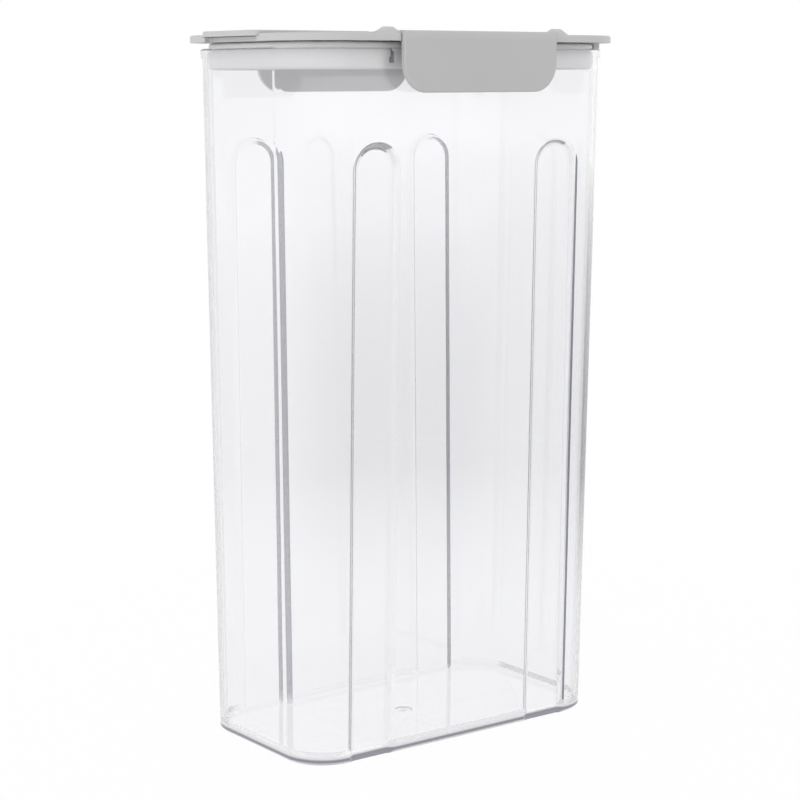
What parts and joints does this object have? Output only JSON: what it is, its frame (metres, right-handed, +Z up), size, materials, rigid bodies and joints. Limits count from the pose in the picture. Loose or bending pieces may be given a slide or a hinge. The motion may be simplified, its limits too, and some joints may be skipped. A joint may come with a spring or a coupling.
{
  "type": "cereal container with flip spout",
  "caption": "Tall clear cereal container with arched grooves in its walls, a grey lid held by a hinged latch on each long side, and a flip-up spout cap at one end.",
  "frame": {"origin": "centre of the flat face the container stands on", "axes": "+Z up, +X along the long walls with the spout at -X, front latch at -Y"},
  "size_m": [0.178, 0.1054, 0.3005],
  "materials": {
    "clear_plastic": "clear, polished moulding",
    "lid_plastic": "satin moulded",
    "latch_plastic": "satin moulded",
    "silicone": "translucent, matt",
    "pin_steel": "drawn wire"
  },
  "bodies": {
    "container": {"container_body": "clear_plastic"},
    "lid": {"lid_plate": "lid_plastic", "lid_seal": "silicone", "spout_hinge_pin": "pin_steel", "front_latch_pin": "pin_steel", "back_latch_pin": "pin_steel"},
    "spout_cap": {"spout_cap": "lid_plastic", "spout_seal": "silicone"},
    "front_latch": {"front_latch": "latch_plastic"},
    "back_latch": {"back_latch": "latch_plastic"}
  },
  "joints": [
    {"name": "lid_lift", "type": "slide", "parent": "container", "child": "lid", "axis": [0, 0, 1], "range_m": [0, 0.07]},
    {"name": "spout_cap_hinge", "type": "hinge", "parent": "lid", "child": "spout_cap", "pos_m": [-0.03075, 0, 0.2973], "axis": [0, 1, 0], "range_deg": [0, 120]},
    {"name": "front_latch_hinge", "type": "hinge", "parent": "lid", "child": "front_latch", "pos_m": [0, -0.04675, 0.297], "axis": [-1, 0, 0], "range_deg": [0, 110]},
    {"name": "back_latch_hinge", "type": "hinge", "parent": "lid", "child": "back_latch", "pos_m": [0, 0.04675, 0.297], "axis": [1, 0, 0], "range_deg": [0, 110]}
  ]
}
